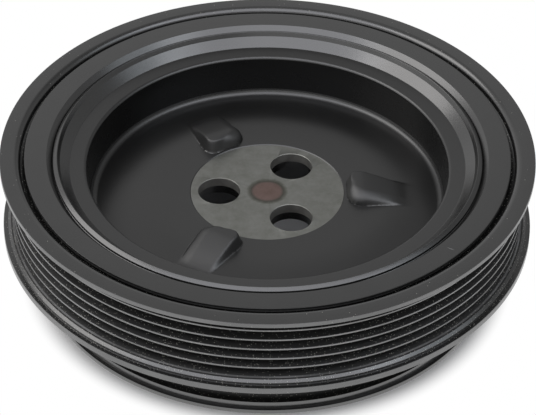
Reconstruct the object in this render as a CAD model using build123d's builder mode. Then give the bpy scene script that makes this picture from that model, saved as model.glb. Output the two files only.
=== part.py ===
from build123d import *
import os
from math import radians, tan

# A crankshaft pulley whose belt ring and inertia ring are both carried on rubber. It lies on the
# inertia ring's rear face with its front face up. +Z is the crankshaft's axis, towards the front
# of the engine, and the origin is the middle of the rear face. All sizes are in millimetres.
# The turned sections are drawn in the XZ plane as (radius, height), corner by corner.

# Walls and clearances between the rings, from the cup in the hub outward
cup_foot_r = 55.1
tube_wall = 5.3
damper_rubber_wall = 3.0
inertia_front_wall = 2.8
inertia_clearance = 0.45
sleeve_wall = 2.55
coupling_rubber_wall = 4.4
belt_wall = 2.7

# Belt grooves: standard ribbed belt
groove_count = 6
groove_pitch = 3.56
groove_angle = 40.0
crest_flat = 0.5
root_flat = 0.9
root_round = 0.45
crest_bevel = 0.12

# Belt ring
height = 45.0
first_groove_drop = 3.57
shoulder_height = 1.2
flange_height = 3.23
front_flange_thickness = 1.2
rear_shoulder_step = 0.75
rear_flange_slope = 0.2
rear_flange_thickness = 2.2
mouth_round = 2.0
mouth_rise = 0.8
mouth_ledge = 0.8

# Carrier ring
carrier_drop = 0.6
carrier_flange_thickness = 1.4
carrier_overhang = 1.4
carrier_gap = 1.2
neck_length = 1.8
neck_clearance = 0.6
carrier_bevel = 0.8
sleeve_extra = 0.9
mouth_clearance = 1.0

# Hub
lip_drop = 0.95
lip_width = 1.95
lip_round = 1.2
lip_bevel = 0.45
lip_step = 1.2
ledge_slope_height = 2.7
ledge_width = 5.3
ledge_fall = 0.3
ledge_round = 1.2
cup_flare = 0.8
hub_seat_length = 6.55
seat_round = 1.0
foot_round = 3.0
pad_depth = 16.8
pad_r = 23.9
pad_recess = 0.2
floor_fall = 2.1
web_thickness = 6.0
tube_rear_wall = 5.0
tube_end = 2.0
nose_bore_r = 26.0
nose_wall = 4.5
nose_end = 6.0
centre_ring_r = 5.5
centre_ring_width = 0.8
centre_ring_depth = 0.3

# Bolt holes
bolt_count = 3
bolt_circle = 30.0
bolt_start_angle = 60.0
bolt_hole_r = 6.5
bolt_hole_depth = 3.2
bolt_relief_r = 6.8

# Pressed-up gussets between the bolt holes
gusset_nose_r = 25.4
gusset_length = 17.6
gusset_half_width = 7.4
gusset_tail_half_width = 5.8
gusset_height = 3.3
gusset_top_angle = 14.6
gusset_nose_round = 5.6
gusset_tail_round = 3.6
gusset_round = 1.1

# Inertia ring
inertia_top_clearance = 1.5
inertia_body_clearance = 1.5
inertia_body_wall = 4.3
inertia_shoulder_width = 2.2
inertia_lip_width = 1.6
inertia_lip_height = 1.8
inertia_lip_rise = 0.7
inertia_shoulder_step = 0.6
inertia_root_round = 1.4
inertia_edge = 0.4

# Rubber rings: how far their ends stand back from the metal, and how far they sink in between
damper_end_gap = 2.0
coupling_end_gap = 1.0
coupling_top_gap = 0.6
rubber_sag = 0.9

edge_bevel = 0.3

# Radii of the rings
tube_r = cup_foot_r + tube_wall
inertia_bore_r = tube_r + damper_rubber_wall
inertia_front_r = inertia_bore_r + inertia_front_wall
lip_r = inertia_front_r + inertia_clearance
sleeve_r = lip_r + sleeve_wall
belt_bore_r = sleeve_r + coupling_rubber_wall
root_r = belt_bore_r + belt_wall
carrier_r = belt_bore_r + carrier_overhang
mouth_r = carrier_r + carrier_gap

# The groove's depth follows from its pitch, flats and angle
flank_slope = tan(radians(groove_angle / 2))
groove_depth = (groove_pitch - crest_flat - root_flat) / 2 / flank_slope
crest_r = root_r + groove_depth
shoulder_r = crest_r + shoulder_height
flange_r = crest_r + flange_height

# Heights, from the front face down
groove_z = [height - first_groove_drop - number * groove_pitch for number in range(groove_count)]
front_flange_z = height - front_flange_thickness
shoulder_half_width = root_flat / 2 + (groove_depth + shoulder_height) * flank_slope
rear_shoulder_z = groove_z[-1] - shoulder_half_width - rear_shoulder_step
rear_flange_z = rear_shoulder_z - rear_flange_slope
belt_rear_z = rear_flange_z - rear_flange_thickness
carrier_front_z = height - carrier_drop
carrier_rear_z = carrier_front_z - carrier_flange_thickness
neck_z = carrier_rear_z - neck_length
sleeve_rear_z = belt_rear_z + sleeve_extra
mouth_z = carrier_rear_z - mouth_clearance
lip_z = height - lip_drop
seat_rear_z = lip_z - hub_seat_length
ledge_z = lip_z - lip_step - ledge_slope_height
pad_z = height - pad_depth
floor_z = pad_z + pad_recess
foot_z = floor_z - floor_fall
web_z = pad_z - web_thickness
inertia_top_z = seat_rear_z - inertia_top_clearance
inertia_body_z = sleeve_rear_z - inertia_body_clearance

# The inertia ring's body and its rear steps, from the damper rubber outward
inertia_body_r = inertia_bore_r + inertia_body_wall
inertia_shoulder_r = inertia_body_r + inertia_shoulder_width
inertia_lip_r = inertia_shoulder_r + inertia_lip_width
inertia_step_z = inertia_lip_height + inertia_lip_rise
inertia_shoulder_z = inertia_step_z + inertia_shoulder_step


def section(sketch, *corners):
    """Closed section: each corner is (radius, height) and, unless it is sharp, its finish and size."""
    with BuildLine() as outline:
        Polyline(*[corner[:2] for corner in corners], close=True)
    make_face(outline.edges())
    for r, z, finish, size in [corner for corner in corners if len(corner) == 4]:
        finish(sketch.vertices().sort_by_distance((r, z))[0], size)


# Belt ring: the turned blank, its belt grooves, their rounded roots and bevelled crests
with BuildPart() as pulley_ring:
    with BuildSketch(Plane.XZ) as belt_section:
        section(
            belt_section,
            (belt_bore_r, belt_rear_z, chamfer, edge_bevel),
            (flange_r, belt_rear_z, chamfer, edge_bevel),
            (flange_r, rear_flange_z, chamfer, edge_bevel),
            (shoulder_r, rear_shoulder_z),
            (shoulder_r, groove_z[-1]),
            (crest_r, groove_z[-1]),
            (crest_r, groove_z[0]),
            (shoulder_r, groove_z[0]),
            (shoulder_r, front_flange_z),
            (flange_r, front_flange_z, chamfer, edge_bevel),
            (flange_r, height, chamfer, edge_bevel),
            (mouth_r, height, fillet, mouth_round),
            (mouth_r, mouth_z + mouth_rise),
            (belt_bore_r + mouth_ledge, mouth_z),
            (belt_bore_r, mouth_z),
        )
        for z in groove_z:
            with BuildLine():
                Polyline(
                    (root_r, z - root_flat / 2),
                    (shoulder_r, z - shoulder_half_width),
                    (shoulder_r, z + shoulder_half_width),
                    (root_r, z + root_flat / 2),
                    close=True,
                )
            make_face(mode=Mode.SUBTRACT)
        roots = belt_section.vertices().filter_by_position(Axis.X, root_r - 0.01, root_r + 0.01)
        fillet(roots, radius=min(root_round, root_flat / 2))
        crests = belt_section.vertices().filter_by_position(Axis.X, crest_r - 0.01, crest_r + 0.01)
        chamfer(crests, length=min(crest_bevel, crest_flat / 3))
        shoulder = belt_section.vertices().sort_by_distance(
            (shoulder_r, rear_shoulder_z + rear_shoulder_step)
        )[0]
        fillet(shoulder, radius=rear_shoulder_step)
    revolve(axis=Axis.Z)
pulley_ring.part.label = "pulley_ring"


# Carrier ring: pressed on the hub's seat, with its flange over the mouth of the belt ring
with BuildPart() as carrier_ring:
    with BuildSketch(Plane.XZ) as carrier_section:
        section(
            carrier_section,
            (lip_r, sleeve_rear_z),
            (sleeve_r, sleeve_rear_z, chamfer, edge_bevel),
            (sleeve_r, neck_z),
            (belt_bore_r - neck_clearance, neck_z, chamfer, edge_bevel),
            (belt_bore_r - neck_clearance, carrier_rear_z),
            (carrier_r, carrier_rear_z, chamfer, edge_bevel),
            (carrier_r, carrier_front_z, chamfer, edge_bevel),
            (lip_r + carrier_bevel, carrier_front_z),
            (lip_r, carrier_front_z - carrier_bevel),
        )
    revolve(axis=Axis.Z)
carrier_ring.part.label = "carrier_ring"


# Hub: lip, ledge, cup and floor in one turned section, with the sleeve for the crankshaft nose
cup_mouth_r = cup_foot_r + cup_flare
ledge_r = cup_mouth_r + ledge_width
lip_inner_r = lip_r - lip_width
tube_rear_r = tube_r - tube_rear_wall
gusset_tail_r = gusset_nose_r + gusset_length
nose_round = min(gusset_nose_round, 0.35 * gusset_length, 0.8 * gusset_half_width)
tail_round = min(gusset_tail_round, 0.25 * gusset_length, 0.8 * gusset_tail_half_width)
with BuildPart() as hub:
    with BuildSketch(Plane.XZ) as hub_section:
        section(
            hub_section,
            (0, pad_z),
            (pad_r, pad_z),
            (pad_r + pad_recess, floor_z),
            (cup_foot_r, foot_z, fillet, foot_round),
            (cup_mouth_r, ledge_z - ledge_fall, fillet, ledge_round),
            (ledge_r, ledge_z, chamfer, edge_bevel),
            (lip_inner_r - lip_bevel, ledge_z + ledge_slope_height),
            (lip_inner_r, ledge_z + ledge_slope_height),
            (lip_inner_r, lip_z - lip_bevel),
            (lip_inner_r + lip_bevel, lip_z),
            (lip_r, lip_z, fillet, lip_round),
            (lip_r, seat_rear_z, chamfer, edge_bevel),
            (tube_r, seat_rear_z, fillet, seat_round),
            (tube_r, tube_end, chamfer, edge_bevel),
            (tube_rear_r, tube_end, chamfer, edge_bevel),
            (tube_rear_r, foot_z - web_thickness, fillet, foot_round),
            (nose_bore_r + nose_wall, web_z - floor_fall / 5, fillet, foot_round),
            (nose_bore_r + nose_wall, nose_end, chamfer, edge_bevel),
            (nose_bore_r, nose_end, chamfer, edge_bevel),
            (nose_bore_r, web_z),
            (0, web_z),
        )
    revolve(axis=Axis.Z)

    # Gussets: steep sides and a rounded nose, with a top that slopes down into the floor
    with BuildPart(mode=Mode.PRIVATE) as gusset:
        with BuildSketch(Plane.XY.offset(foot_z - web_thickness / 2)):
            with BuildLine():
                FilletPolyline(
                    (gusset_nose_r, -gusset_half_width),
                    (gusset_tail_r, -gusset_tail_half_width),
                    (gusset_tail_r, gusset_tail_half_width),
                    (gusset_nose_r, gusset_half_width),
                    radius=[nose_round, tail_round, tail_round, nose_round],
                    close=True,
                )
            make_face()
        extrude(amount=web_thickness / 2 + floor_fall + 2 * gusset_height)
        top = Plane(
            origin=(gusset_nose_r, 0, floor_z + gusset_height),
            z_dir=Vector(0, 0, 1).rotate(Axis.Y, gusset_top_angle),
        )
        split(bisect_by=top, keep=Keep.BOTTOM)
        fillet(gusset.faces().sort_by(Axis.Z)[-1].edges(), radius=gusset_round)
    with PolarLocations(0, bolt_count):
        add(gusset.part)

    # Bolt holes, a little wider behind, and the turned ring round the centre mark
    with PolarLocations(bolt_circle / 2, bolt_count, start_angle=bolt_start_angle):
        Hole(bolt_hole_r)
    with BuildSketch(Plane.XY.offset(web_z)):
        with PolarLocations(bolt_circle / 2, bolt_count, start_angle=bolt_start_angle):
            Circle(bolt_relief_r)
    extrude(amount=web_thickness - bolt_hole_depth, mode=Mode.SUBTRACT)
    with BuildSketch(Plane.XY.offset(pad_z)):
        Circle(centre_ring_r + centre_ring_width / 2)
        Circle(centre_ring_r - centre_ring_width / 2, mode=Mode.SUBTRACT)
    extrude(amount=-centre_ring_depth, mode=Mode.SUBTRACT)
hub.part.label = "hub"


# Inertia ring: a thin front wall inside the carrier's sleeve, and a body with a rear lip
with BuildPart() as inertia_ring:
    with BuildSketch(Plane.XZ) as inertia_section:
        section(
            inertia_section,
            (inertia_bore_r, 0, chamfer, edge_bevel),
            (inertia_lip_r, 0, chamfer, inertia_edge),
            (inertia_lip_r, inertia_lip_height, chamfer, edge_bevel),
            (inertia_shoulder_r, inertia_step_z),
            (inertia_shoulder_r, inertia_shoulder_z, chamfer, edge_bevel),
            (inertia_body_r, inertia_shoulder_z, fillet, inertia_root_round),
            (inertia_body_r, inertia_body_z, chamfer, edge_bevel),
            (inertia_front_r, inertia_body_z),
            (inertia_front_r, inertia_top_z, chamfer, edge_bevel),
            (inertia_bore_r, inertia_top_z),
        )
    revolve(axis=Axis.Z)
inertia_ring.part.label = "inertia_ring"


def rubber_ring(inner_r, outer_r, rear_z, front_z):
    """Section in a sketch of a bonded rubber ring with sunken ends."""
    with BuildLine() as outline:
        Line((inner_r, rear_z), (inner_r, front_z))
        SagittaArc((inner_r, front_z), (outer_r, front_z), -rubber_sag)
        Line((outer_r, front_z), (outer_r, rear_z))
        SagittaArc((outer_r, rear_z), (inner_r, rear_z), -rubber_sag)
    make_face(outline.edges())


# Damper rubber: bonded between the hub's tube and the inertia ring
with BuildPart() as damper_rubber:
    with BuildSketch(Plane.XZ):
        rubber_ring(tube_r, inertia_bore_r, tube_end + damper_end_gap, inertia_top_z)
    revolve(axis=Axis.Z)
damper_rubber.part.label = "damper_rubber"


# Coupling rubber: bonded between the carrier's sleeve and the belt ring
with BuildPart() as coupling_rubber:
    with BuildSketch(Plane.XZ):
        rubber_ring(sleeve_r, belt_bore_r, sleeve_rear_z + coupling_end_gap, neck_z - coupling_top_gap)
    revolve(axis=Axis.Z)
coupling_rubber.part.label = "coupling_rubber"


for piece in (pulley_ring, carrier_ring, coupling_rubber, hub, damper_rubber, inertia_ring):
    export_step(piece.part, f"parts/{piece.part.label}.step")
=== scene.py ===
import bmesh
import bpy
from math import atan2, cos, hypot, pi, radians, sin, sqrt, tan
from mathutils import Euler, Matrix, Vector


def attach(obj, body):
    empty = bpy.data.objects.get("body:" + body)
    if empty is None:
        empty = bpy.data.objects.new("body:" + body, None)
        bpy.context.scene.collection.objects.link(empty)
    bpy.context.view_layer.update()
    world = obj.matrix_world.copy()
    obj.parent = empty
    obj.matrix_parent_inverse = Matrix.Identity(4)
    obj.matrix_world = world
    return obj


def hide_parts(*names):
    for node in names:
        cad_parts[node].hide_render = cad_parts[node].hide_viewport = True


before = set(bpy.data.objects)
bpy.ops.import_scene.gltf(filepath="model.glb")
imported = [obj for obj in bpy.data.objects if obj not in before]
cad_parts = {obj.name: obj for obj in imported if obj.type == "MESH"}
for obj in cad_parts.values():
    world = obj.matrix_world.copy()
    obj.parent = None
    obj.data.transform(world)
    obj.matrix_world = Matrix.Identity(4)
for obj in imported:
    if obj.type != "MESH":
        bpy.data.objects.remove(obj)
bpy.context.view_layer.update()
scene = bpy.context.scene

# Setting: the pulley lies on a white table under a softbox, with a lamp at either side, and the camera
# stands where the photograph's stood. The table shows white to the camera and in the paint's
# reflections, and goes dark under the pulley.
mm = 0.001
aim = Vector((0.304, -0.969, 22.5)) * mm
camera_place = Vector((0.0, -630.11, 522.82)) * mm
camera_roll = radians(0.685)
camera = bpy.data.objects.new("camera", bpy.data.cameras.new("camera"))
camera.data.lens = 172.163
camera.data.sensor_width = 36.0
camera.data.clip_start = 0.01
camera.data.clip_end = 20.0
camera.location = camera_place
turn = (aim - camera_place).to_track_quat("-Z", "Y") @ Euler((0, 0, camera_roll)).to_quaternion()
camera.rotation_euler = turn.to_euler()
scene.collection.objects.link(camera)
scene.camera = camera
scene.view_settings.view_transform = "Standard"


def node_adder(tree):
    """A function that adds a node to this tree, with its settings and its input values or links."""
    def add(kind, values=None, **settings):
        node = tree.nodes.new(kind)
        for key, value in settings.items():
            setattr(node, key, value)
        for socket, value in (values or {}).items():
            if isinstance(value, bpy.types.NodeSocket):
                tree.links.new(value, node.inputs[socket])
            else:
                node.inputs[socket].default_value = value
        return node

    return add


def arithmetic(add, operation, *values):
    """The result of one operation on numbers and sockets."""
    return add("ShaderNodeMath", dict(enumerate(values)), operation=operation).outputs[0]


def graded(add, value, start, end, first=0.0, last=1.0, **settings):
    """A number that goes from first to last while the value goes from start to end."""
    limits = {"Value": value, "From Min": start, "From Max": end, "To Min": first, "To Max": last}
    return add("ShaderNodeMapRange", limits, **settings).outputs["Result"]


def from_axis(add, place):
    """The distance of a place from the pulley's axis."""
    flat = add("ShaderNodeVectorMath", {0: place, 1: (1, 1, 0)}, operation="MULTIPLY").outputs[0]
    return add("ShaderNodeVectorMath", {0: flat}, operation="LENGTH").outputs["Value"]


def material(name):
    """A new node material, with its tree, its surface shader and a function that adds a node."""
    made = bpy.data.materials.new(name)
    made.use_nodes = True
    tree = made.node_tree
    return made, tree, tree.nodes["Principled BSDF"], node_adder(tree)


table_paint, tree, shader, add = material("table")
shader.inputs["Base Color"].default_value = (0.8, 0.8, 0.8, 1)
shader.inputs["Roughness"].default_value = 0.6
distance = from_axis(add, add("ShaderNodeTexCoord").outputs["Object"])
rays = add("ShaderNodeLightPath").outputs
shares = []
for kind, dark_to, white_from in (("Is Camera Ray", 70, 79), ("Is Glossy Ray", 66, 72)):
    clear = graded(add, distance, dark_to * mm, white_from * mm, interpolation_type="SMOOTHSTEP")
    shares.append(arithmetic(add, "MULTIPLY", rays[kind], clear))
share = arithmetic(add, "MAXIMUM", *shares)
white = add("ShaderNodeEmission", {"Color": (1, 1, 1, 1), "Strength": 1.0})
mixed = add("ShaderNodeMixShader", {0: share, 1: shader.outputs[0], 2: white.outputs[0]})
tree.links.new(mixed.outputs[0], tree.nodes["Material Output"].inputs["Surface"])
bpy.ops.mesh.primitive_plane_add(size=8.0)
table = bpy.context.object
table.name = "table"
table.data.materials.append(table_paint)

# The room is grey, brighter low down at the left and a little brighter behind the camera. High up it is
# darker at the right. The camera itself sees it white.
world = bpy.data.worlds.new("studio")
world.use_nodes = True
scene.world = world
tree = world.node_tree
add = node_adder(tree)
direction = add("ShaderNodeTexCoord").outputs["Generated"]
direction = add("ShaderNodeSeparateXYZ", {"Vector": direction}).outputs
low_wall = graded(add, direction["X"], -0.6, 0.6, 0.62, 0.26)
high_wall = graded(add, direction["Z"], 0.54, 0.70, 0.48, 0.32)
high_right = graded(add, direction["X"], 0.08, 0.30, 1.0, 0.5)
high_wall = arithmetic(add, "MULTIPLY", high_wall, high_right)
rise = graded(add, direction["Z"], 0.15, 0.45)
wall = add("ShaderNodeMix", {0: rise, 2: low_wall, 3: high_wall}).outputs[0]
behind_camera = graded(add, direction["Y"], -0.45, 0.1, 1.1, 1.0)
room = arithmetic(add, "MULTIPLY", wall, behind_camera)
shown = arithmetic(add, "MAXIMUM", room, add("ShaderNodeLightPath").outputs["Is Camera Ray"])
tree.links.new(shown, tree.nodes["Background"].inputs["Strength"])
tree.nodes["Background"].inputs["Color"].default_value = (1, 1, 1, 1)

for name, width, depth, radiance, colour, place in (
    ("softbox", 1.7, 0.9, 1.2, (0.93, 0.94, 1.0), (0.0, -0.40, 1.0)),
    ("left lamp", 0.9, 0.6, 1.75, (1.0, 0.98, 0.97), (-0.80, 0.10, 0.78)),
    ("right lamp", 0.7, 0.6, 0.8, (0.85, 0.93, 1.0), (0.80, -0.2, 0.85)),
):
    lamp = bpy.data.objects.new(name, bpy.data.lights.new(name, "AREA"))
    lamp.data.shape = "RECTANGLE"
    lamp.data.size = width
    lamp.data.size_y = depth
    lamp.data.energy = radiance * pi * width * depth
    lamp.data.color = colour
    lamp.location = place
    lamp.rotation_euler = (-lamp.location).to_track_quat("-Z", "Y").to_euler()
    scene.collection.objects.link(lamp)


# Hub: one forged steel piece, with three gussets pressed up out of the floor of its deep cup. It is
# turned, drilled and painted black, and then the pad round the bolt holes is turned bare.
def rounded(corners):
    """Points of a section in mm, from corners given as (radius, height, round)."""
    points = []
    for index, (r, z, corner_round) in enumerate(corners):
        corner = Vector((r, z))
        if corner_round == 0:
            points.append(corner)
            continue
        before = (Vector(corners[index - 1][:2]) - corner).normalized()
        after = (Vector(corners[(index + 1) % len(corners)][:2]) - corner).normalized()
        half = before.angle(after) / 2
        reach = corner_round / tan(half)
        middle = corner + (before + after).normalized() * (corner_round / sin(half))
        start = corner + before * reach - middle
        end = corner + after * reach - middle
        turned = atan2(start.x * end.y - start.y * end.x, start.dot(end))
        steps = 2 if corner_round < 0.35 else 4 if corner_round < 1.5 else 7
        for step in range(steps + 1):
            angle = turned * step / steps
            points.append(middle + Vector((
                start.x * cos(angle) - start.y * sin(angle),
                start.x * sin(angle) + start.y * cos(angle),
            )))
    return points


# This tree turns a section about Z. It first repeats the section's rib, where there is one, along the
# axis, and then carries the section round a circle, moved in by the radius of that circle.
turning = bpy.data.node_groups.new("turned section", "GeometryNodeTree")
for name, kind in (
    ("Section", "NodeSocketGeometry"),
    ("Columns", "NodeSocketInt"),
    ("Ribs", "NodeSocketInt"),
    ("Pitch", "NodeSocketFloat"),
    ("Finish", "NodeSocketMaterial"),
):
    turning.interface.new_socket(name, in_out="INPUT", socket_type=kind)
turning.interface.new_socket("Geometry", in_out="OUTPUT", socket_type="NodeSocketGeometry")
turning_inputs = {}
for item in turning.interface.items_tree:
    if item.in_out == "INPUT":
        turning_inputs[item.name] = item.identifier
add = node_adder(turning)
given = add("NodeGroupInput").outputs
is_rib = add("GeometryNodeInputNamedAttribute", {"Name": "rib"}, data_type="BOOLEAN").outputs["Attribute"]
split = add("GeometryNodeSeparateGeometry", {"Geometry": given["Section"], "Selection": is_rib},
            domain="POINT").outputs
step = add("ShaderNodeCombineXYZ", {"Y": given["Pitch"]}).outputs[0]
stations = add("GeometryNodeMeshLine", {"Count": given["Ribs"], "Offset": step}, mode="OFFSET").outputs[0]
ribs = add("GeometryNodeInstanceOnPoints", {"Points": stations, "Instance": split["Selection"]}).outputs[0]
ribs = add("GeometryNodeRealizeInstances", {"Geometry": ribs}).outputs[0]
whole = add("GeometryNodeJoinGeometry", {"Geometry": split["Inverted"]})
turning.links.new(ribs, whole.inputs["Geometry"])
circle_r = 50 * mm
section = add("GeometryNodeTransform", {"Geometry": whole.outputs[0], "Translation": (-circle_r, 0, 0)})
profile = add("GeometryNodeMeshToCurve", {"Mesh": section.outputs[0]}).outputs[0]
circle = add("GeometryNodeCurvePrimitiveCircle",
             {"Resolution": given["Columns"], "Radius": circle_r}).outputs[0]
swept = add("GeometryNodeCurveToMesh", {"Curve": circle, "Profile Curve": profile}).outputs[0]
closed = add("GeometryNodeMergeByDistance", {"Geometry": swept, "Distance": 0.001 * mm}).outputs[0]
real = add("GeometryNodeRealizeInstances", {"Geometry": closed}).outputs[0]
coated = add("GeometryNodeSetMaterial", {"Geometry": real, "Material": given["Finish"]}).outputs[0]
add("NodeGroupOutput", {"Geometry": coated})


def turned_piece(name, section, around, finish, rib=(), ribs=0, spacing=0.0):
    """A closed mesh turned about Z from section points in mm, with one rib repeated along the axis."""
    points = [*section, *rib]
    edges = [(index, index + 1) for index in range(len(points) - 1) if index != len(section) - 1]
    if not rib:
        edges.append((len(points) - 1, 0))
    outline = bpy.data.meshes.new(name)
    outline.from_pydata([(point.x * mm, -point.y * mm, 0) for point in points], edges, [])
    mark = outline.attributes.new("rib", "BOOLEAN", "POINT")
    mark.data.foreach_set("value", [index >= len(section) for index in range(len(points))])
    piece = bpy.data.objects.new(name, outline)
    scene.collection.objects.link(piece)
    turned = piece.modifiers.new("turned", "NODES")
    turned.node_group = turning
    for key, value in (("Columns", around), ("Ribs", ribs), ("Pitch", spacing * mm), ("Finish", finish)):
        turned[turning_inputs[key]] = value
    bpy.context.view_layer.update()
    piece.data = bpy.data.meshes.new_from_object(piece.evaluated_get(bpy.context.evaluated_depsgraph_get()))
    piece.modifiers.clear()
    shell = bmesh.new()
    shell.from_mesh(piece.data)
    bmesh.ops.recalc_face_normals(shell, faces=shell.faces)
    shell.to_mesh(piece.data)
    shell.free()
    piece.data.shade_smooth()
    piece.data.set_sharp_from_angle(angle=radians(35))
    piece.modifiers.new("flat faces stay flat", "WEIGHTED_NORMAL").keep_sharp = True
    return piece


def smooth(value):
    """An S curve from 0 at 0 to 1 at 1."""
    value = min(1, max(0, value))
    return value * value * (3 - 2 * value)


def above_zero(value, softness):
    """The value where it is above 0, and 0 where it is below, with a soft bend between."""
    return (value + sqrt(value * value + softness)) / 2


pad_r = 23.9
pad_z = 28.2
web_z = 22.2
floor_z = 28.4
level_to_r = 31
bend_width = 15
floor_slope = 0.155


def floor_height(r):
    """Height of the cup's floor in mm: level round the pad, then falling away to the wall's foot."""
    share = min(1, max(0, (r - level_to_r) / bend_width))
    past_bend = max(0, r - level_to_r - bend_width)
    return floor_z - floor_slope * (bend_width * (share ** 3 - share ** 4 / 2) + past_bend)


gusset_nose_r = 25.0
gusset_height = 4.0
gusset_level_to = 29.7
gusset_slope = 0.29
steep_flank = 1.2


def gusset_lift(r, z, angle):
    """How far a point of the floor rises, in mm, where a gusset is pressed up.

    Its flank is domed on the clockwise side, seen from the front, and steep on the other side.
    """
    if not (24 < r < 50 and 25.5 < z < 28.9):
        return 0
    third = 2 * pi / 3
    turned = (angle + third / 2) % third - third / 2
    out = r * cos(turned)
    across = r * sin(turned)
    nose_round = 6.3 - 2.0 * smooth(across / 3 + 0.5)
    half_width = 7.4 - 0.09 * (out - 25.4)
    before_nose = gusset_nose_r + nose_round - r
    beside_nose = abs(across) - (half_width - nose_round)
    inside = nose_round - hypot(max(before_nose, 0), max(beside_nose, 0))
    share = min(1, max(0, inside / (2.7 + 2.1 * smooth(-across / 5))))
    domed = sqrt(share * (2 - share))
    ramp = max(0, inside / steep_flank)
    steep = max(0, ramp - above_zero(ramp - 1, 0.03))
    flank = domed + (steep - domed) * smooth(across / 2.6)
    top = gusset_height - gusset_slope * above_zero(out - gusset_level_to, 1.5)
    return above_zero(top, 0.1) * flank


wall_foot_r = 55.1
wall_top_r = 55.9
ledge_r = 61.2
seat_r = 66.65
tube_r = 60.4
tube_bore_r = 55.4
tube_end_z = 2.0
sleeve_r = 30.5
sleeve_bore_r = 26.0
sleeve_end_z = 6.0
floor_rings = [24.6 + 0.25 * step for step in range(18)]
floor_rings += [29.4 + 0.6 * step for step in range(24)]
floor_rings += [44.0 + 1.5 * step for step in range(7)]
hub_section = rounded([
    (0, pad_z, 0),
    (pad_r, pad_z, 0),
    (pad_r + 0.25, floor_z, 0),
    *[(r, floor_height(r), 0) for r in floor_rings],
    (wall_foot_r, floor_height(wall_foot_r), 1.9),
    (wall_top_r, 39.85, 1.2),
    (ledge_r, 40.15, 0.4),
    (64.05, 42.67, 0.15),
    (64.9, 44.1, 0.2),
    (66.2, 43.35, 0.1),
    (66.2, 42.6, 0.1),
    (seat_r, 42.4, 0.1),
    (seat_r, 37.5, 0.3),
    (tube_r, 37.5, 1.0),
    (tube_r, tube_end_z, 0.3),
    (tube_bore_r, tube_end_z, 0.3),
    (tube_bore_r, 20.3, 3.0),
    (sleeve_r, 21.8, 3.0),
    (sleeve_r, sleeve_end_z, 0.3),
    (sleeve_bore_r, sleeve_end_z, 0.3),
    (sleeve_bore_r, web_z, 0),
    (0, web_z, 0),
])


def toned(add, value, *stops):
    """A colour that follows the value through stops given as (position, colour)."""
    ramp = add("ShaderNodeValToRGB", {"Fac": value})
    elements = ramp.color_ramp.elements
    for element, (position, colour) in zip(elements, (stops[0], stops[-1])):
        element.position = position
        element.color = (*colour, 1)
    for position, colour in stops[1:-1]:
        elements.new(position).color = (*colour, 1)
    return ramp.outputs["Color"]


def paint(name, dark, light, gloss_from, gloss_to, lines, ior):
    """Black paint over steel, with a fine grain, a soft cloud in its tone and faint turned lines."""
    made, tree, shader, add = material(name)
    place = add("ShaderNodeTexCoord").outputs["Object"]
    grain = add("ShaderNodeTexNoise", {"Vector": place, "Scale": 2600.0, "Detail": 3.0, "Roughness": 0.6})
    cloud = add("ShaderNodeTexNoise", {"Vector": place, "Scale": 90.0, "Detail": 5.0, "Roughness": 0.65})
    cloud = cloud.outputs["Fac"]
    tone = toned(add, cloud, (0.3, (dark, dark, dark)), (0.7, (light, light, light * 0.95)))
    tree.links.new(tone, shader.inputs["Base Color"])
    tree.links.new(graded(add, cloud, 0.0, 1.0, gloss_from, gloss_to), shader.inputs["Roughness"])
    shader.inputs["IOR"].default_value = ior
    turned = add("ShaderNodeTexNoise",
                 {"W": from_axis(add, place), "Scale": 1500.0, "Detail": 4.0, "Roughness": 0.7},
                 noise_dimensions="1D")
    relief = arithmetic(add, "MULTIPLY_ADD", turned.outputs["Fac"], lines, grain.outputs["Fac"])
    bump = add("ShaderNodeBump", {"Height": relief, "Strength": 0.3, "Distance": 0.03 * mm})
    tree.links.new(bump.outputs["Normal"], shader.inputs["Normal"])
    return made, tree, shader, add, place, tone


black_paint = paint("black_paint", dark=0.007, light=0.011, gloss_from=0.20, gloss_to=0.27,
                    lines=0.5, ior=2.2)[0]
# The cup's inner wall takes a much darker copy of the black paint, as painted shade on the wall deep in the
# cup.
shaded_wall_paint = paint("shaded_wall_paint", dark=0.0015, light=0.003, gloss_from=0.25, gloss_to=0.30,
                   lines=0.3, ior=1.5)[0]

# The cup's floor, gussets and ledge take a darker copy of the black paint, whose darker tone is painted shade
# in the cup. The gussets are duller than the floor and the ledge, which have the same paint.
shaded_cup_paint, tree, shader, add, place, tone = paint(
    "shaded_cup_paint", dark=0.003, light=0.005, gloss_from=0.31, gloss_to=0.36, lines=0.3, ior=2.0)
gloss = shader.inputs["Roughness"].links[0].from_socket
height = add("ShaderNodeSeparateXYZ", {"Vector": place}).outputs["Z"]
above_floor = graded(add, height, 28.5 * mm, 29.5 * mm, 0.0, 0.14)
below_ledge = graded(add, height, 34 * mm, 36 * mm, 1.0, 0.0)
duller = arithmetic(add, "MULTIPLY_ADD", above_floor, below_ledge, gloss)
tree.links.new(duller, shader.inputs["Roughness"])

# The bare pad has a mottled grey tone, fine turned rings, and a reddish mark with a dark edge in its
# middle.
bare_steel, tree, shader, add = material("bare_turned_steel")
place = add("ShaderNodeTexCoord").outputs["Object"]
mottle = add("ShaderNodeTexNoise", {"Vector": place, "Scale": 230.0, "Detail": 7.0, "Roughness": 0.7})
mottle = mottle.outputs["Fac"]
tone = toned(add, mottle, (0.3, (0.285, 0.290, 0.262)), (0.75, (0.410, 0.410, 0.392)))
distance = from_axis(add, place)
wobble = arithmetic(add, "MULTIPLY", mottle, 1.2 * mm)
ragged = arithmetic(add, "ADD", distance, wobble)
mark = toned(
    add, graded(add, ragged, 0.0, 8 * mm),
    (0.0, (0.84, 0.58, 0.56)),
    (0.60, (0.84, 0.60, 0.58)),
    (0.71, (0.42, 0.40, 0.38)),
    (0.80, (0.62, 0.62, 0.58)),
    (0.90, (1, 1, 1)),
    (1.0, (1, 1, 1)),
)
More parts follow.
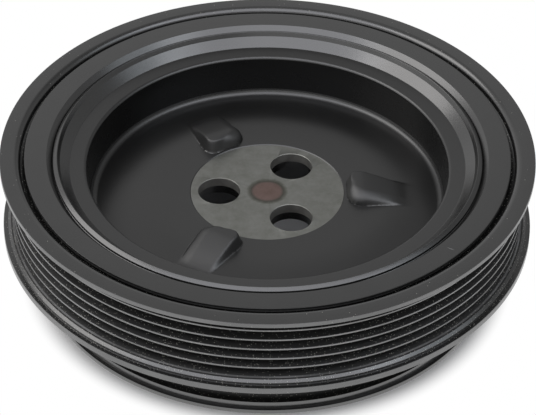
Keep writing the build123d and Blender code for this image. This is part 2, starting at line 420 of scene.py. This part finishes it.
stained = add("ShaderNodeMix", {0: 1.0, 6: tone, 7: mark}, data_type="RGBA", blend_type="MULTIPLY")
tree.links.new(stained.outputs[2], shader.inputs["Base Color"])
shader.inputs["Metallic"].default_value = 1.0
tree.links.new(graded(add, mottle, 0.0, 1.0, 0.36, 0.52), shader.inputs["Roughness"])
ring_spacing = 0.35 * mm
rings = arithmetic(add, "MULTIPLY", distance, 2 * pi / ring_spacing)
wave = arithmetic(add, "SINE", rings)
bump = add("ShaderNodeBump", {"Height": wave, "Strength": 0.12, "Distance": 0.01 * mm})
tree.links.new(bump.outputs["Normal"], shader.inputs["Normal"])

drilled_steel, tree, shader, add = material("drilled_steel")
place = add("ShaderNodeTexCoord").outputs["Object"]
streaks = add("ShaderNodeTexNoise", {"Vector": place, "Scale": 400.0, "Detail": 4.0}).outputs["Fac"]
tone = toned(add, streaks, (0.3, (0.11, 0.107, 0.10)), (0.7, (0.17, 0.166, 0.155)))
tree.links.new(tone, shader.inputs["Base Color"])
shader.inputs["Roughness"].default_value = 0.4

hub = turned_piece("hub_steel", hub_section, 720, black_paint)
for vertex in hub.data.vertices:
    x, y, z = vertex.co / mm
    vertex.co.z += gusset_lift(hypot(x, y), z, atan2(y, x)) * mm

bolt_circle_r = 15
bolt_hole_r = 6.5
relief_r = 6.8
bolt_hole_section = rounded([
    (0, web_z - 1, 0),
    (relief_r, web_z - 1, 0),
    (relief_r, pad_z - 3.2, 0),
    (bolt_hole_r, pad_z - 3.1, 0),
    (bolt_hole_r, pad_z - 0.15, 0),
    (relief_r, pad_z + 0.15, 0),
    (relief_r, pad_z + 1, 0),
    (0, pad_z + 1, 0),
])
drills = []
for number in range(3):
    angle = radians(60 + 120 * number)
    drill = turned_piece("bolt_hole", bolt_hole_section, 96, bare_steel)
    drill.modifiers.clear()
    drill.location = (bolt_circle_r * cos(angle) * mm, bolt_circle_r * sin(angle) * mm, 0)
    drills.append(drill)
    cut = hub.modifiers.new("bolt hole", "BOOLEAN")
    cut.operation = "DIFFERENCE"
    cut.solver = "EXACT"
    cut.object = drill
    hub.modifiers.move(len(hub.modifiers) - 1, 0)
bpy.context.view_layer.update()
drilled = bpy.data.meshes.new_from_object(hub.evaluated_get(bpy.context.evaluated_depsgraph_get()))
for drill in drills:
    bpy.data.objects.remove(drill)
hub.modifiers.clear()
hub.data = drilled
drilled.set_sharp_from_angle(angle=radians(50))
level = 0.99999
for face in drilled.polygons:
    face.use_smooth = abs(face.normal.z) < level
hub.modifiers.new("flat faces stay flat", "WEIGHTED_NORMAL").keep_sharp = True

finishes = [black_paint, bare_steel, shaded_cup_paint, shaded_wall_paint, drilled_steel]
drilled.materials.clear()
for finish in finishes:
    drilled.materials.append(finish)
for face in drilled.polygons:
    middle = face.center / mm
    r = hypot(middle.x, middle.y)
    z = middle.z
    in_middle = r < 24.2
    on_pad = z > pad_z - 0.2 and (z < pad_z - 0.1 or r < pad_r)
    in_hole = pad_z - 3.0 < z < pad_z
    on_floor = pad_r < r < 55 and 25.5 < z < 36
    on_wall = 54.9 < r < 55.95 and 28 < z < 39.2
    on_ledge = wall_top_r < r < ledge_r and z > 39
    if in_middle and on_pad:
        face.material_index = finishes.index(bare_steel)
    elif in_middle and in_hole:
        face.material_index = finishes.index(drilled_steel)
    # The cup's wall, floor, gussets and ledge take the darker copies of the paint, as painted shade.
    elif on_wall:
        face.material_index = finishes.index(shaded_wall_paint)
    elif on_floor or on_ledge:
        face.material_index = finishes.index(shaded_cup_paint)
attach(hub, "root")
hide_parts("hub")


# Carrier ring: one steel ring turned to an L section and painted black. Its sleeve is pressed on the
# hub, and the coupling rubber is bonded round the sleeve, behind the flange. Its face has a scratch.
flange_z = 44.4
flange_r = 75.0
flange_step_r = 73.0
carrier_sleeve_r = 69.2
carrier_section = rounded([
    (seat_r, 19.4, 0.2),
    (carrier_sleeve_r, 19.4, 0.3),
    (carrier_sleeve_r, 41.2, 0),
    (flange_step_r, 41.2, 0.3),
    (flange_step_r, 43.0, 0),
    (flange_r, 43.0, 0.3),
    (flange_r, flange_z, 0.34),
    (68.15, flange_z, 0.1),
    (seat_r, 42.9, 0.1),
])
scratch_place = (54.2 * mm, -47.0 * mm, flange_z * mm)
scratch_turn = radians(-31)
scratch_size = (1.42 * mm, 0.16 * mm, 1 * mm)
carrier_paint, tree, shader, add, place, tone = paint(
    "carrier_paint", dark=0.007, light=0.011, gloss_from=0.20, gloss_to=0.27, lines=0.5, ior=2.2)
along = add("ShaderNodeMapping", {
    "Vector": place,
    "Location": scratch_place,
    "Rotation": (0, 0, scratch_turn),
    "Scale": scratch_size,
}, vector_type="TEXTURE").outputs["Vector"]
reach = add("ShaderNodeVectorMath", {0: along}, operation="LENGTH").outputs["Value"]
scratch = graded(add, reach, 1.0, 0.5)
scratched = add("ShaderNodeMix", {0: scratch, 6: tone, 7: (0.16, 0.16, 0.16, 1)}, data_type="RGBA").outputs[2]
tree.links.new(scratched, shader.inputs["Base Color"])
carrier = turned_piece("carrier_ring_steel", carrier_section, 720, carrier_paint)
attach(carrier, "root")
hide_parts("carrier_ring")


# Belt ring: turned steel with six V grooves between a thin front flange and a stepped rear one. It is
# painted black and carried on the coupling rubber. Its crests and rims are lighter in patches, partly as
# rubbed paint and partly as a painted highlight along these edges, and dust is caught in its grooves.
pitch = 3.56
root_r = 76.3
root_half = 0.45
crest_r = 79.27
shoulder_r = 80.47
rim_r = 82.5
bore_r = 73.6
front_bore_r = 76.2
front_z = 45.0
rear_z = 18.3
groove_angle = radians(40)
flank = tan(groove_angle / 2)
shoulder_half = root_half + (shoulder_r - root_r) * flank
crest_half = root_half + (crest_r - root_r) * flank
groove_z = [41.43 - pitch * number for number in range(6)]
belt_section = rounded([
    (root_r, groove_z[0], 0),
    (root_r, groove_z[0] + root_half, 0.4),
    (shoulder_r, groove_z[0] + shoulder_half, 0.1),
    (shoulder_r, 43.75, 0.06),
    (rim_r, 43.55, 0.1),
    (rim_r, front_z, 0.25),
    (front_bore_r, front_z, 2.2),
    (front_bore_r, 42.8, 0.1),
    (74.4, 42.0, 0.1),
    (bore_r, 42.0, 0),
    (bore_r, rear_z, 0.3),
    (rim_r, rear_z, 0.12),
    (rim_r, 20.35, 0.2),
    (81.0, 20.45, 0.1),
    (81.0, 21.1, 0.15),
    (80.15, 21.75, 0.3),
    (root_r, groove_z[5] - root_half, 0.4),
    (root_r, groove_z[5], 0),
])
rib = rounded([
    (root_r, groove_z[0], 0),
    (root_r, groove_z[0] - root_half, 0.4),
    (crest_r, groove_z[0] - crest_half, 0.06),
    (crest_r, groove_z[1] + crest_half, 0.06),
    (root_r, groove_z[1] + root_half, 0.4),
    (root_r, groove_z[1], 0),
])
belt_paint, tree, shader, add, place, tone = paint(
    "belt_paint", dark=0.008, light=0.013, gloss_from=0.20, gloss_to=0.27, lines=0.5, ior=2.2)
radius = from_axis(add, place)
height = add("ShaderNodeSeparateXYZ", {"Vector": place}).outputs["Z"]
below_flange = arithmetic(add, "LESS_THAN", height, 43.4 * mm)
# Lighter patches on the crests and rim edges: rubbed paint, and partly a painted highlight.
wear_and_glint = []
for inner, outer, most in ((crest_r - 0.2, crest_r + 0.4, 1.0), (82.2, 83, 0.4)):
    inside = graded(add, radius, inner * mm, (inner + 0.2) * mm, 0.0, most)
    within = arithmetic(add, "LESS_THAN", radius, outer * mm)
    wear_and_glint.append(arithmetic(add, "MULTIPLY", inside, within))
crest_wear_and_glint = arithmetic(add, "MULTIPLY", wear_and_glint[0], below_flange)
rubbing_and_glint = arithmetic(add, "MAXIMUM", crest_wear_and_glint, wear_and_glint[1])
patches = add("ShaderNodeTexNoise", {"Vector": place, "Scale": 60.0, "Detail": 3.0}).outputs["Fac"]
patches = graded(add, patches, 0.3, 0.7, 0.25, 0.9)
worn_and_glint = arithmetic(add, "MULTIPLY", rubbing_and_glint, patches)
rubbed_and_glint = add("ShaderNodeMix", {0: worn_and_glint, 6: tone, 7: (0.22, 0.22, 0.22, 1)}, data_type="RGBA").outputs[2]
cells = add("ShaderNodeTexVoronoi", {"Vector": place, "Scale": 1800.0}).outputs
speck = graded(add, cells["Distance"], 0.27, 0.14)
chance = add("ShaderNodeSeparateColor", {"Color": cells["Color"]}).outputs["Red"]
inside_rims = arithmetic(add, "LESS_THAN", radius, 82 * mm)
dusty_place = arithmetic(add, "MULTIPLY", below_flange, inside_rims)
needed = graded(add, dusty_place, 0.0, 1.0, 0.98, 0.5)
present = arithmetic(add, "GREATER_THAN", chance, needed)
dust = arithmetic(add, "MULTIPLY", speck, present)
dusty = add("ShaderNodeMix", {0: dust, 6: rubbed_and_glint, 7: (0.38, 0.37, 0.33, 1)}, data_type="RGBA").outputs[2]
tree.links.new(dusty, shader.inputs["Base Color"])

# The same paint is duller in the grooves, and above the inertia ring's ledge.
groove_paint = belt_paint.copy()
groove_paint.name = "groove_paint"
groove_shader = groove_paint.node_tree.nodes["Principled BSDF"]
groove_shader.inputs["IOR"].default_value = 1.5
groove_paint.node_tree.links.remove(groove_shader.inputs["Roughness"].links[0])
groove_shader.inputs["Roughness"].default_value = 0.55
belt = turned_piece("belt_ring_steel", belt_section, 480, belt_paint, rib, 5, pitch)
belt.data.materials.append(groove_paint)
for face in belt.data.polygons:
    middle = face.center / mm
    in_groove = 75.9 < hypot(middle.x, middle.y) < crest_r - 0.12
    if in_groove and 21.9 < middle.z < 43.5:
        face.material_index = 1
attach(belt, "root")
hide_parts("pulley_ring")


# Inertia ring: cast iron, turned on its outside and painted black. The damper rubber holds it round the
# hub's tube, and its rear edge shows below the belt ring's rear flange.
inertia_bore_r = 63.4
lip_r = 71.5
rear_ledge_r = 70.4
rear_ledge_z = 3.7
waist_r = 67.7
front_r = 66.2
inertia_section = rounded([
    (inertia_bore_r, 0, 0.3),
    (lip_r, 0, 0.4),
    (lip_r, 1.6, 0.25),
    (rear_ledge_r, 1.62, 0.1),
    (rear_ledge_r, rear_ledge_z, 0.12),
    (waist_r, rear_ledge_z, 1.4),
    (waist_r, 17.95, 0.3),
    (front_r, 17.95, 0),
    (front_r, 36.0, 0.3),
    (inertia_bore_r, 36.0, 0),
])
inertia = turned_piece("inertia_ring_iron", inertia_section, 480, black_paint)
inertia.data.materials.append(groove_paint)
for face in inertia.data.polygons:
    middle = face.center / mm
    if hypot(middle.x, middle.y) < rear_ledge_r - 0.1 and middle.z > rear_ledge_z - 0.3:
        face.material_index = 1
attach(inertia, "root")
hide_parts("inertia_ring")


# Rubber rings: moulded rubber, bonded to the metal on both sides, deep in the gaps. The coupling rubber
# carries the belt ring on the carrier ring, and the damper rubber the inertia ring on the hub's tube.
rubber, tree, shader, add = material("bonded_rubber")
place = add("ShaderNodeTexCoord").outputs["Object"]
grain = add("ShaderNodeTexNoise", {"Vector": place, "Scale": 900.0, "Detail": 4.0}).outputs["Fac"]
tone = toned(add, grain, (0.0, (0.010, 0.010, 0.010)), (1.0, (0.026, 0.026, 0.026)))
tree.links.new(tone, shader.inputs["Base Color"])
shader.inputs["Roughness"].default_value = 0.75
bump = add("ShaderNodeBump", {"Height": grain, "Strength": 0.3, "Distance": 0.05 * mm})
tree.links.new(bump.outputs["Normal"], shader.inputs["Normal"])
for name in ("coupling_rubber", "damper_rubber"):
    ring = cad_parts[name]
    for index in range(len(ring.data.materials)):
        ring.data.materials[index] = rubber
